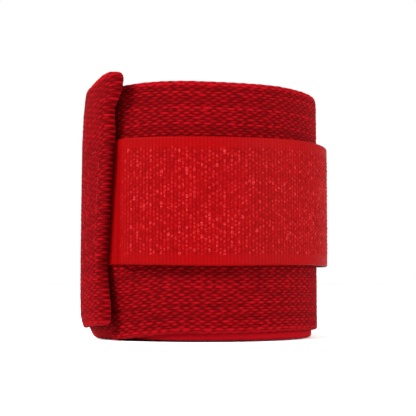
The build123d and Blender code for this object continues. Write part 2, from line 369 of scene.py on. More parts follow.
UNBACKED_LEAN = 0.125 / MM  # over the square of the height above the inner turns
FLAP_SAG = 1.9 * MM  # how far the flap's lower edge hangs
FLAP_DIP = 2.2 * MM  # how far its upper edge dips before the hem
FLAP_LEAN = 0.9 * MM  # how far its top leans in
FLAP_TUCK = 2.1 * MM  # how far its lower edge tucks in
FLAP_TUCK_HEIGHT = 5.5 * MM
HEM_STAND_OFF = 0.85 * MM  # away from the strap's height, where nothing holds the hem down
HEM_SLANT = 0.09
HEM_SHIFT = -0.7 * MM
HEM_LOW_CORNER = 3.1 * MM  # how far the hem's edge swings forward at its ends
HEM_HIGH_CORNER = 2.1 * MM
HEM_TOP_ROUNDING = 2.2 * MM
HEM_FOOT_ROUNDING = 1.4 * MM


def outer_edges(s):
    """Heights of the outermost turn's two edges. It starts level with the turns inside it, stands
    proud of them round the front, and climbs round the back. Its lower edge sags on the flap."""
    place, _ = band_path.at(s)
    angle = np.arctan2(place[..., 1], place[..., 0]) - SEAM_ANGLE
    climb = (HEM_RISE - FRONT_RISE) / 2 * (1 - np.cos(angle))
    hemmed = ease((outside(s) - hem_start_s) / (fold_s - hem_start_s))
    rise = FRONT_RISE + climb * ease((s - (math.pi * FRONT_RADIUS - 6 * MM)) / (6 * MM))
    rise = rise + 0.1 * MM * np.sin(s / (31 * MM) * math.tau)
    slack = 0.4 * MM * np.exp(-(((s - 12 * MM) / (16 * MM)) ** 2))
    sag = FLAP_SAG * flap_share(s) * (1 - 0.31 * hemmed)
    dip = FLAP_DIP * flap_share(s) * (1 - hemmed)
    return rise * ease((s + 3 * MM) / (22 * MM)) - sag, rise + slack - dip + BAND_WIDTH


def flap_share(s):
    """How far along the way from the roll's back to the flap a length is, from 0 to 1."""
    return ease((s - hinge_s + 12 * MM) / (24 * MM))


def outside(s):
    """The length on the hem's outer layer that lies over a length on its turned-in layer."""
    return np.where(s > fold_end_s, fold_s + fold_end_s - s, np.minimum(s, fold_s))


def corner_share(s):
    """How far along the way from the flap to the hem's edge a length is, from 0 to 1."""
    return ease((outside(s) - hem_start_s + 5 * MM) / (fold_s - hem_start_s + 5 * MM))


def band_drape(s, height):
    """How the outermost turn hangs. Above the inner turns nothing backs it, so it leans inwards.
    The hem stands off the roll, most so above and below the strap, and its edge runs out of square."""
    low, top = outer_edges(s)
    z = low + height / BAND_WIDTH * (top - low)
    at_hem, at_flap = corner_share(s), flap_share(s)
    bare = np.clip(z - BAND_WIDTH, 0, None)
    lean = -UNBACKED_LEAN * bare**2 * (1 - 0.8 * at_hem)
    lean = lean - FLAP_LEAN * ease((z - 40 * MM) / (13 * MM)) * at_flap * (1 - at_hem)
    foot = np.clip(FLAP_TUCK_HEIGHT - z, 0, None) / FLAP_TUCK_HEIGHT
    lean = lean - FLAP_TUCK * foot**1.5 * at_flap * (1 - 0.6 * at_hem)
    away = ease((z - STRAP_TOP) / (8 * MM)) + ease((STRAP_BOTTOM - z) / (8 * MM))
    inner = ease((s - fold_s) / (math.pi * FOLD_RADIUS))
    lean = lean + at_hem * (HEM_STAND_OFF * away - 0.2 * MM * inner) + 0.15 * MM * at_hem**2
    lean = lean + 0.05 * MM * np.sin(s / (17 * MM) * math.tau + z / (40 * MM) * math.tau)
    slant = HEM_SLANT * (z - STRAP_MIDDLE) + HEM_SHIFT
    corner = HEM_LOW_CORNER * ease((STRAP_BOTTOM + 1 * MM - z) / (11 * MM))
    corner = corner + HEM_HIGH_CORNER * ease((z - 46.3 * MM) / (5 * MM))
    for reach, inset in ((HEM_TOP_ROUNDING, top - z), (HEM_FOOT_ROUNDING, z - low)):
        near_edge = np.clip(1 - inset / reach, 0, 0.98)
        corner = corner - reach * (1 - np.sqrt(1 - near_edge**2))
    return z - height, lean, at_hem * (slant + corner)


STEP_ALONG = FLOAT_PERIOD / 6
STEP_ACROSS = WARP_PITCH / 4
JOIN = 5 * MM  # from the flap's first row to its hinge
BEND_REACH = JOIN * 0.8


def spaced(start, end, step):
    """Evenly spaced lengths from one to another."""
    return np.linspace(start, end, max(2, int(round((end - start) / step)) + 1))


edge_rows = (STEP_ACROSS, 5 * MM)
outer_profile = ribbon_profile(BAND_WIDTH, BAND_THICKNESS, (STEP_ACROSS,), edge_rows)
end_profile = ribbon_profile(BAND_WIDTH, BAND_THICKNESS, (STEP_ACROSS,), (STEP_ACROSS * 1.5,))

turn_breaks = np.linspace(0, hinge_s - JOIN, 3)
band_pieces = []
for number, (start, end) in enumerate(zip(turn_breaks[:-1], turn_breaks[1:]), 1):
    piece = ribbon(
        f"outer_turn_{number}",
        band_path,
        spaced(start, end, STEP_ALONG),
        outer_profile,
        band_relief,
        band_drape,
    )
    band_pieces.append((piece, end - start))
    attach(piece, "roll")
    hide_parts("outer_turn")

flap = ribbon(
    "end_flap_cloth",
    band_path,
    spaced(hinge_s - JOIN, hem_start_s, STEP_ALONG),
    end_profile,
    band_relief,
    band_drape,
)
hinge_before, _ = band_path.at(hinge_s - BEND_REACH)
hinge_after, _ = band_path.at(hinge_s + BEND_REACH)
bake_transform(flap)
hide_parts("end_flap")
band_pieces.append((flap, hem_start_s - hinge_s + JOIN))

fine_start = fold_s - 1 * MM
fine_end = fold_end_s + 1 * MM
hem_s = np.concatenate(
    [
        spaced(hem_start_s, fine_start, STEP_ALONG)[:-1],
        spaced(fine_start, fine_end, STEP_ALONG / 3)[:-1],
        spaced(fine_end, band_path.length, STEP_ALONG),
    ]
)
hem = ribbon("end_hem_cloth", band_path, hem_s, end_profile, band_relief, band_drape)
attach(hem, "wrap_end")
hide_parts("end_hem")
band_pieces.append((hem, band_path.length - hem_start_s))

# ---- The band: inner turns ------------------------------------------------------------------

PLAIN_HALF_TURNS = 25
LOOP_HALF_TURNS = 4
LOOP_TAPE_THICKNESS = 1.1 * MM
LOOP_SLOT = 0.12 * MM
LOOP_THICKNESS = 2 * LOOP_TAPE_THICKNESS + LOOP_SLOT
LOOP_STEP = (BAND_THICKNESS + 2 * TURN_GAP + LOOP_THICKNESS) / 2


def half_turns():
    """Centre, inside radius and start angle of each half turn, from the core outwards."""
    centre, radius = FRONT_CENTRE, FRONT_RADIUS - BAND_THICKNESS
    start = SEAM_ANGLE - math.pi
    found = []
    for number in range(PLAIN_HALF_TURNS + LOOP_HALF_TURNS):
        growth = TURN_STEP if number < PLAIN_HALF_TURNS else LOOP_STEP
        centre = centre + unit(start) * growth
        radius -= growth
        start -= math.pi
        found.append((centre, radius, start))
    return found[::-1]


turns = half_turns()


def spiral_line(offset, first, last):
    """Points that lie an offset outside the band's inner face, over some of the half turns."""
    arcs = []
    for centre, radius, start in turns[first:last]:
        arcs.append(arc_points(centre, radius + offset, start, start + math.pi))
    return np.concatenate(arcs)


spiral_path = Path(spiral_line(BAND_THICKNESS / 2, 0, len(turns)))
LAST_TURNS = 2 * math.pi * FRONT_RADIUS
TELESCOPE = 0.22 * MM  # how unevenly the inner turns stand
WORN_RISE = 2.0 * MM  # how far they ride up on the flap's side
WORN_TUCK = 1.5 * MM  # how far the last one tucks in below
WORN_SIDE = unit(math.radians(200))


def inner_drape(s, height):
    """The inner turns stand level, but for a little unevenness from turn to turn. On the flap's
    side the roll's lower edge is worn round: the last turn tucks in and those inside it ride up."""
    turn = s / spiral_path.length
    from_end = spiral_path.length - s
    lift = TELESCOPE * (1 + np.sin(turn * 61 + 1.3) * np.cos(turn * 23))
    lift = lift * ease(from_end / (60 * MM))
    place, _ = spiral_path.at(s)
    facing = (WORN_SIDE * place).sum(-1) / np.linalg.norm(place, axis=-1)
    worn = ease((facing - 0.55) / 0.4)
    tucked = ease((LAST_TURNS - from_end) / (8 * MM))
    near_outside = ease((4 * LAST_TURNS - from_end) / (2 * LAST_TURNS))
    lift = lift + WORN_RISE * worn * (1 - tucked) * near_outside
    level = lift * (1 - height / BAND_WIDTH * 0.5)
    foot = np.clip(4 * MM - height, 0, None) / (4 * MM)
    return level, -WORN_TUCK * worn * tucked * foot**1.5, np.zeros_like(s)


def rim_relief(s, c, side, height):
    """Where the inner turns are hidden their weave is left flat; it stays at the selvages."""
    raised, tone = plain_weave(s, c)
    shown = ease((1.2 * MM - np.minimum(height, BAND_WIDTH - height)) / (1.2 * MM))
    return raised * shown, tone * shown + 0.6 * (1 - shown)


def lip_relief(s, c, side, height):
    """The last inner turn shows its weave only near its lower and upper edges, and its edges are
    painted lighter, a painted highlight for light bounced up from the floor.
    """
    raised, tone = plain_weave(s, c)
    shown = ease((5 * MM - np.minimum(height, BAND_WIDTH - height)) / (1 * MM))
    edge = selvage(height, 2.4 * MM)
    # 0.85 * edge is a painted highlight on the selvages.
    light = tone * shown * (1 - 0.4 * edge) + 0.6 * (1 - shown) + 0.85 * edge
    return raised * shown * (1 - 0.5 * edge), light


rim_rows = (0.25 * MM, 0.5 * MM)
rim_profile = ribbon_profile(BAND_WIDTH, BAND_THICKNESS, rim_rows, rim_rows)
lip_profile = ribbon_profile(BAND_WIDTH, BAND_THICKNESS, edge_rows, rim_rows)
hidden_end = spiral_path.length - LAST_TURNS
spiral_breaks = np.concatenate([np.linspace(0, hidden_end, 4), [spiral_path.length]])
for number, (start, end) in enumerate(zip(spiral_breaks[:-1], spiral_breaks[1:]), 1):
    hidden = end <= hidden_end + PLAN_STEP
    piece = ribbon(
        f"inner_turns_{number}",
        spiral_path,
        spaced(start, end, STEP_ALONG),
        rim_profile if hidden else lip_profile,
        rim_relief if hidden else lip_relief,
        inner_drape,
    )
    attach(piece, "roll")
    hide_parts("inner_turns")
    band_pieces.append((piece, end - start))

# ---- Thumb loop -----------------------------------------------------------------------------

LOOP_INSIDE = BAND_THICKNESS + TURN_GAP
LOOP_OUTSIDE = LOOP_INSIDE + LOOP_THICKNESS
LOOP_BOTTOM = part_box("thumb_loop")[0].z
LOOP_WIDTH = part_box("thumb_loop")[1].z - LOOP_BOTTOM
LOOP_LAST = LOOP_HALF_TURNS - 1
LOOP_RIB = 0.9 * MM

loop_centre, loop_radius, loop_turn_start = turns[LOOP_LAST - 1]
loop_fold_angle = loop_turn_start + math.pi
loop_fold_radius = (LOOP_THICKNESS - LOOP_TAPE_THICKNESS) / 2
loop_middle = loop_radius + (LOOP_INSIDE + LOOP_OUTSIDE) / 2
loop_fold_centre = loop_centre + unit(loop_fold_angle) * loop_middle
loop_path = Path(
    spiral_line(LOOP_INSIDE + LOOP_TAPE_THICKNESS / 2, 0, LOOP_LAST),
    arc_points(loop_fold_centre, loop_fold_radius, loop_fold_angle + math.pi, loop_fold_angle),
    spiral_line(LOOP_OUTSIDE - LOOP_TAPE_THICKNESS / 2, 0, LOOP_LAST)[::-1],
)


def loop_relief(s, c, side, height):
    """A ribbed tape: round ribs across its width, crossed by fine yarns. Its tone rises on the ribs'
    crests, a painted highlight.
    """
    rib = np.abs(np.cos(s / LOOP_RIB * math.pi)) ** 0.7
    yarn = 0.5 + 0.5 * np.cos(c / (0.45 * MM) * math.tau + np.floor(s / LOOP_RIB + 0.5) * math.pi)
    raised = 0.09 * MM * (rib - 0.5) + 0.03 * MM * yarn
    return raised, 0.25 + 0.6 * rib + 0.15 * yarn


def loop_drape(s, height):
    """The thumb loop stands between the turns."""
    return np.full_like(s, LOOP_BOTTOM), np.zeros_like(s), np.zeros_like(s)


loop_rows = (0.16 * MM, 1.2 * MM)
thumb_loop = ribbon(
    "thumb_loop_tape",
    loop_path,
    spaced(0, loop_path.length, LOOP_RIB / 6),
    ribbon_profile(LOOP_WIDTH, LOOP_TAPE_THICKNESS, loop_rows, loop_rows),
    loop_relief,
    loop_drape,
)
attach(thumb_loop, "roll")
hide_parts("thumb_loop")

# ---- Strap ----------------------------------------------------------------------------------

STRAP_WIDTH = STRAP_TOP - STRAP_BOTTOM
ROOT_LENGTH = 9 * MM
RAMP_LENGTH = 3.6 * MM
TIP_CORNER = 4 * MM
RIB_PITCH = 0.735 * MM
KNOT_PITCH = 0.885 * MM
ROOT_PITCH_ALONG = 1.47 * MM
ROOT_PITCH_ACROSS = 1.77 * MM

root_middle = ROOT_RADIUS + STRAP_THICKNESS / 2
tape_middle = FRONT_RADIUS + STRAP_CLEARANCE + HOOK_HEIGHT + STRAP_THICKNESS / 2
seam_turn = SEAM_ANGLE + math.tau
ramp_sweep = RAMP_LENGTH / tape_middle
tip_joint = joint_line("tip_lift")
back_step = bearing(tip_joint, BACK_CENTRE) - bearing(joint_line("strap_bend_8"), BACK_CENTRE)
tip_angle = bearing(tip_joint, BACK_CENTRE) + back_step + math.tau

ramp_share = np.linspace(0, 1, 90)[:, None]
ramp_angles = strap_start + ramp_sweep * ramp_share
ramp_points = (root_middle + (tape_middle - root_middle) * ease(ramp_share)) * np.concatenate(
    [np.cos(ramp_angles), np.sin(ramp_angles)], 1
)
strap_path = Path(
    arc_points(FRONT_CENTRE, root_middle, strap_start - ROOT_LENGTH / ROOT_RADIUS, strap_start),
    ramp_points,
    arc_points(FRONT_CENTRE, tape_middle, strap_start + ramp_sweep, seam_turn),
    arc_points(BACK_CENTRE, tape_middle + TURN_STEP, seam_turn, tip_angle),
)
strap_joints = ["strap_peel"] + [f"strap_bend_{n}" for n in range(2, STRAP_LENGTHS)] + ["tip_lift"]
tape_nodes = ["strap_root"] + [f"strap_tape_{n}" for n in range(1, STRAP_LENGTHS)] + ["strap_tape_tip"]
hook_nodes = [None] + [f"hook_field_{n}" for n in range(1, STRAP_LENGTHS)] + ["hook_field_tip"]
joint_s = [strap_path.nearest(joint_line(name)) for name in strap_joints]
# The tape is cut half way between its joints, on the crest of a rib, where a cut doesn't show.
middles = (np.array(joint_s[:-1]) + joint_s[1:]) / 2
cuts = [0.0, *(np.round(middles / RIB_PITCH) * RIB_PITCH), strap_path.length]
bare_end = joint_s[0] + RAMP_LENGTH + 1.5 * MM


def root_dots(s, height):
    """How much of a hook's root shows through the back of the tape at each point."""
    column = np.round(s / ROOT_PITCH_ALONG)
    shift = (column % 2) * 0.5
    place = (height - STRAP_WIDTH / 2) / ROOT_PITCH_ACROSS - shift
    row = np.round(place)
    along = (s - column * ROOT_PITCH_ALONG) / (0.24 * MM)
    across = (place - row) * ROOT_PITCH_ACROSS / (0.34 * MM)
    size = 1 + 0.4 * np.sin(column * 12.9 + row * 78.2)
    shown = np.abs(height - STRAP_WIDTH / 2) < STRAP_WIDTH / 2 - HOOK_MARGIN
    bump = np.sqrt(np.clip(1 - (along**2 + across**2) / size**2, 0, 1)) * shown
    return bump * ease((s - joint_s[0] - 1 * MM) / (8 * MM))


def strap_relief(s, c, side, height):
    """Fine ribs across the tape, each a row of small knots of uneven brightness, with the roots of
    the hooks standing out of its back. The knots are painted lighter the higher they stand, a painted
    highlight, and specks and the hooks' roots are painted light to make painted glints. The selvages
    are plain ribs."""
    column = np.round(s / RIB_PITCH).astype(int)
    place = c / KNOT_PITCH + 0.5 * (column % 2) + 0.5 * (grain(s, c, 0.8 * MM) - 0.5)
    rib = np.abs(np.cos(s / RIB_PITCH * math.pi)) ** 0.7
    knot = rib * np.abs(np.cos((place - np.round(place)) * math.pi)) ** 0.8
    bright = grain_table[column % GRAIN_SIZE, np.round(place).astype(int) % GRAIN_SIZE]
    edge = ease((np.abs(height - STRAP_WIDTH / 2) - STRAP_WIDTH / 2 + HOOK_MARGIN) / (0.5 * MM))
    plain = np.maximum(edge, 1 - ease((s - joint_s[0] - 1 * MM) / (5 * MM)) * 0.8)
    dots = root_dots(s, height) * (side > 0.5) * (0.3 + 1.2 * grain(s, c, 1.9 * MM))
    raised = MM * (0.035 * (rib - 0.5) + 0.08 * knot * (1 - plain) + 0.07 * dots + 0.05 * edge)
    # Knot tone: random brightness for each knot, and lighter with the knot's height as a painted
    # highlight.
    knot_tone_and_highlight = 0.54 * knot * (0.1 + 0.9 * bright) * (1 - 0.8 * plain)
    # Painted glints: specks that lift the tone into the tape material's glint colour.
    glint_speck = (0.46 * grain(s, c, 0.3 * MM) + 0.7 * knot * (bright > 0.975)) * (1 - plain)
    return raised, 0.05 + 0.16 * rib + knot_tone_and_highlight + 0.38 * plain + glint_speck + 0.24 * dots


def strap_drape(s, height):
    """The strap runs level, and its tip's corners are rounded off."""
    from_tip = np.clip(strap_path.length - s, 0, TIP_CORNER)
    inset = TIP_CORNER - np.sqrt(np.clip(TIP_CORNER**2 - (TIP_CORNER - from_tip) ** 2, 0, None))
    from_middle = (height - STRAP_WIDTH / 2) * (1 - 2 * inset / STRAP_WIDTH)
    wave = 0.12 * MM * np.sin(s / (43 * MM) * math.tau)
    level = STRAP_MIDDLE + from_middle - height + wave
    return level, np.zeros_like(s), np.zeros_like(s)


TIP_BEND_BEFORE = 0.5 * MM
TIP_BEND_AFTER = 9 * MM


def strap_blend(piece, number):
    """Bakes the transform of a piece of the strap into its mesh. The tip lifts furthest, so for it the
    points found either side of its joint lie only a little before it and further beyond; nothing uses
    them."""
    reach = 0.5 * (joint_s[1] - joint_s[0])
    at_tip = number == STRAP_LENGTHS - 1
    before, _ = strap_path.at(joint_s[number] - (TIP_BEND_BEFORE if at_tip else reach))
    after, _ = strap_path.at(joint_s[number] + (TIP_BEND_AFTER if at_tip else reach))
    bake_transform(piece)


strap_profile = ribbon_profile(STRAP_WIDTH, STRAP_THICKNESS, (0.12 * MM,), (0.6 * MM,))
strap_pieces = []
for number in range(STRAP_LENGTHS):
    piece = ribbon(
        f"strap_{number + 1}_tape",
        strap_path,
        spaced(cuts[number], cuts[number + 1], RIB_PITCH / 6),
        strap_profile,
        strap_relief,
        strap_drape,
    )
    strap_blend(piece, number)
    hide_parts(tape_nodes[number], tape_nodes[number + 1])
    strap_pieces.append((piece, cuts[number + 1] - cuts[number]))

# ---- Threads, hooks and pile ----------------------------------------------------------------


# What the material reads on a tube: a length along it, and a running number that tells it apart.
TUBE_LENGTH = 2
TUBE_SPACING = 0.71
PLY_DEPTH = 0.16


def tubes(name, lines, sides_of, radius, facets, twist=0.0):
    """One mesh of many short tubes. lines holds each tube's points, and sides_of a direction
    square to the plane each tube lies in. A twisted tube has two plies."""
    count, steps = lines.shape[:2]
    tangent = np.gradient(lines, axis=1)
    tangent /= np.linalg.norm(tangent, axis=2, keepdims=True)
    side = np.broadcast_to(sides_of[:, None, :], lines.shape)
    up = np.cross(side, tangent)
    angle = np.arange(facets) / facets * math.tau
    share = np.linspace(0, 1, steps)
    ply = 1 + (PLY_DEPTH * np.cos(2 * (angle[None, :] - twist * share[:, None])) if twist else 0)
    reach = radius * ply * np.ones((steps, facets))
    ring = side[:, :, None] * (np.cos(angle) * reach)[None, :, :, None]
    ring = ring + up[:, :, None] * (np.sin(angle) * reach)[None, :, :, None]
    points = lines[:, :, None] + ring
    index = np.arange(count * steps * facets).reshape(count, steps, facets)
    following = np.roll(index, -1, axis=2)
    quads = np.stack([index[:, :-1], following[:, :-1], following[:, 1:], index[:, 1:]], -1)
    faces = (quads, index[:, 0, ::-1], index[:, -1])
    loops = np.concatenate([corners.reshape(-1) for corners in faces])
    sizes = np.concatenate([np.full(quads.size // 4, 4), np.full(2 * count, facets)])
    facts = np.zeros((count, steps, facets, 3))
    facts[..., 0] = share[None, :, None] * TUBE_LENGTH
    facts[..., 1] = np.arange(count)[:, None, None] * TUBE_SPACING
    return mesh_object(name, points, loops, sizes, facts)


def hooks(path, offset, s, z, reach):
    """Bent nylon hooks that stand inwards from a tape, each leaning along it or back."""
    shape_along = np.array([0, 0, 0.02, 0.1, 0.24, 0.38, 0.46, 0.47]) * MM
    shape_up = np.array([-0.1, 0.5, 0.95, 1.2, 1.3, 1.25, 1.08, 0.88]) / 1.34 * reach
    lean = draw.choice([-1, 1], len(s))
    lift = draw.normal(1, 0.04, len(s))
    place, outward = path.at(s)
    along = np.stack([-outward[:, 1], outward[:, 0]], 1)
    base = place - outward * offset
    plan = base[:, None] - outward[:, None] * (shape_up[None, :, None] * lift[:, None, None])
    plan = plan + along[:, None] * (shape_along[None, :, None] * lean[:, None, None])
    upright = np.tile([0.0, 0.0, 1.0], (len(s), 1))
    return in_space(plan, z[:, None]), upright


first_column = math.ceil(bare_end / ROOT_PITCH_ALONG)
last_column = int((strap_path.length - HOOK_MARGIN) / ROOT_PITCH_ALONG)
hook_columns = np.arange(first_column, last_column + 1)
HOOK_RADIUS = 0.1 * MM
hook_pieces = []
for number in range(STRAP_LENGTHS):
    s_found, z_found = [], []
    for column in hook_columns:
        s = column * ROOT_PITCH_ALONG
        if not cuts[number] <= s < cuts[number + 1]:
            continue
        rows = (np.arange(-7, 8) + (column % 2) * 0.5) * ROOT_PITCH_ACROSS
        rows = rows[np.abs(rows) < STRAP_WIDTH / 2 - HOOK_MARGIN]
        s_found += [s] * len(rows)
        z_found += list(STRAP_MIDDLE + rows)
    places = np.array(s_found), np.array(z_found)
    found = hooks(strap_path, STRAP_THICKNESS / 2, *places, HOOK_HEIGHT * 0.97)
    piece = tubes(f"strap_{number + 1}_hooks", *found, HOOK_RADIUS, 5)
    strap_blend(piece, number)
    for node in hook_nodes[number : number + 2]:
        if node:
            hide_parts(node)
    hook_pieces.append(piece)

# The patch is a thin backing with a pile of fine loops standing on it.
PATCH_BACKING = 0.35 * MM
PATCH_CLEARANCE = 0.05 * MM
PATCH_START = math.radians(47)
PATCH_END = math.radians(148)
PATCH_WIDTH = PATCH_TOP - PATCH_BOTTOM
patch_inside = BACK_RADIUS + PATCH_CLEARANCE
patch_path = Path(arc_points(BACK_CENTRE, patch_inside + PATCH_BACKING / 2, PATCH_START, PATCH_END))


def patch_relief(s, c, side, height):
    """The patch's backing is a fine knit."""
    knit = np.cos(s / (0.6 * MM) * math.tau) * np.cos(c / (0.6 * MM) * math.tau)
    return 0.03 * MM * knit, 0.45 + 0.15 * knit


def patch_drape(s, height):
    """The patch lies level on the outermost turn."""
    return np.full_like(s, PATCH_BOTTOM), np.zeros_like(s), np.zeros_like(s)


patch = ribbon(
    "loop_patch_backing",
    patch_path,
    spaced(0, patch_path.length, 0.2 * MM),
    ribbon_profile(PATCH_WIDTH, PATCH_BACKING, (0.2 * MM,), (2 * MM,)),
    patch_relief,
    patch_drape,
)
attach(patch, "roll")
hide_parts("loop_patch")

PILE_COUNT = 3600
PILE_MARGIN = 0.3 * MM
PILE_RADIUS = 0.05 * MM
pile_s = draw.uniform(PILE_MARGIN, patch_path.length - PILE_MARGIN, PILE_COUNT)
pile_z = draw.uniform(PILE_MARGIN, PATCH_WIDTH - PILE_MARGIN, PILE_COUNT)
pile_turn = draw.uniform(0, math.pi, PILE_COUNT)
pile_width = draw.uniform(0.18, 0.3, PILE_COUNT) * MM
pile_height = draw.uniform(0.3, 0.45, PILE_COUNT) * MM
bend = np.linspace(-0.15, math.pi + 0.15, 8)
place, outward = patch_path.at(pile_s)
along = np.stack([-outward[:, 1], outward[:, 0]], 1)
sideways = np.cos(bend)[None, :] * pile_width[:, None]
rise = PATCH_BACKING / 2 + np.sin(bend)[None, :] * pile_height[:, None]
plan = place[:, None] + outward[:, None] * rise[..., None]
plan = plan + along[:, None] * (sideways * np.cos(pile_turn)[:, None])[..., None]
lines = in_space(plan, PATCH_BOTTOM + pile_z[:, None] + sideways * np.sin(pile_turn)[:, None])
pile_sides = in_space(-along * np.sin(pile_turn)[:, None], np.cos(pile_turn))
pile = tubes("loop_patch_pile", lines, pile_sides, PILE_RADIUS, 4)
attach(pile, "roll")
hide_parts("loop_patch")

# ---- Stitches -------------------------------------------------------------------------------

STITCH_LENGTH = 2.2 * MM
STITCH_PITCH = 3.0 * MM
SEAM_MARGIN = 1.6 * MM
THREAD = 0.2 * MM
THREAD_TWIST = 14.0
THREAD_FACETS = 8
ARCH = np.linspace(-1, 1, 26)
ARCH_RISE = 0.2 * MM * (1 - ARCH**4) - 0.25 * MM * ARCH**12


def stitches(name, body, node, path, drape, places, sunk):
    """Twisted thread stitches on a cloth, sunk into it from a given distance out. Each place is a
    length along the cloth, a height in it, and whether the stitch stands upright."""
    reach = ARCH * STITCH_LENGTH / 2
    lines, sides_of = [], []
    for s, height, upright in places:
        lengths = np.full(len(ARCH), s) if upright else s + reach
        heights = height + reach if upright else np.full(len(ARCH), height)
        lines.append(on_cloth(path, drape, lengths, heights, sunk + ARCH_RISE))
        _, outward = path.at(np.array([s]))
        sides_of.append([-outward[0, 1], outward[0, 0], 0] if upright else [0, 0, 1.0])
    piece = tubes(name, np.array(lines), np.array(sides_of), THREAD, THREAD_FACETS, THREAD_TWIST)
    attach(piece, body)
    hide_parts(node)
    return piece


def stitch_row(start, end):
    """Middles of the stitches that fit in a row."""
    count = int((end - start - STITCH_LENGTH) / STITCH_PITCH) + 1
    return (start + end - (count - 1) * STITCH_PITCH) / 2 + np.arange(count) * STITCH_PITCH


def stitch_box(start, end, low, high, inset):
    """Stitches round a box on a cloth. The upright rows stop an inset short at each end."""
    places = [(s, h, True) for s in (start, end) for h in stitch_row(low + inset, high - inset)]
    return places + [(s, h, False) for h in (low, high) for s in stitch_row(start, end)]


patch_thread = stitches(
    "patch_thread",
    "roll",
    "patch_stitching",
    patch_path,
    patch_drape,
    stitch_box(
        SEAM_MARGIN,
        patch_path.length - SEAM_MARGIN,
        SEAM_MARGIN / 2,
        PATCH_WIDTH - SEAM_MARGIN / 2,
        SEAM_MARGIN / 2 + STITCH_PITCH,
    ),
    PATCH_THICKNESS - PATCH_BACKING / 2 - 0.15 * MM,
)


def band_height(s, z):
    """The height in the band of a point at a height above the floor."""
    low, top = outer_edges(np.array([s]))
    return (z - low[0]) / (top - low)[0] * BAND_WIDTH


THREAD_SUNK = BAND_THICKNESS / 2 - 0.36 * MM
hem_seam_s = hem_start_s + SEAM_MARGIN
hem_thread = stitches(
    "hem_thread",
    "wrap_end",
    "hem_stitching",
    band_path,
    band_drape,
    [(hem_seam_s, h, True) for h in stitch_row(1.5 * SEAM_MARGIN, BAND_WIDTH - 1.5 * SEAM_MARGIN)],
    THREAD_SUNK,
)
root_thread = stitches(
    "root_thread",
    "wrap_end",
    "root_stitching",
    band_path,
    band_drape,
    stitch_box(
        hem_seam_s + SEAM_MARGIN,
        fold_s - SEAM_MARGIN,
        band_height(fold_s, STRAP_BOTTOM + SEAM_MARGIN),
        band_height(fold_s, STRAP_TOP - SEAM_MARGIN),
        SEAM_MARGIN,
    ),
    THREAD_SUNK,
)

# Whip stitches go over the thumb loop's two edges and into the band beneath.
TACK_COUNT = 3
TACK_SPACING = 0.8 * MM
core_centre, core_radius, core_start = turns[0]
tack_low = core_radius + BAND_THICKNESS + 0.1 * MM
tack_high = core_radius + LOOP_OUTSIDE
tack_lines = []
for number in range(TACK_COUNT):
    angle = core_start + (number + 0.75) * TACK_SPACING / tack_high
    for edge, sign in ((LOOP_BOTTOM, -1), (LOOP_BOTTOM + LOOP_WIDTH, 1)):
        share = np.linspace(0, math.pi, 26)
        reach = (tack_low + tack_high) / 2 - np.cos(share) * (tack_high - tack_low) / 2
        plan = core_centre + unit(angle) * reach[:, None]
        tack_lines.append(in_space(plan, edge + sign * 0.25 * MM * np.sin(share)))
tack_lines = np.array(tack_lines)
tack_sides = np.tile([-math.sin(core_start), math.cos(core_start), 0], (len(tack_lines), 1))
tack_thread = tubes(
    "thumb_loop_thread", tack_lines, tack_sides, THREAD * 0.8, THREAD_FACETS, THREAD_TWIST
)
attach(tack_thread, "roll")
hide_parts("thumb_loop_tack")

# ---- Materials ------------------------------------------------------------------------------


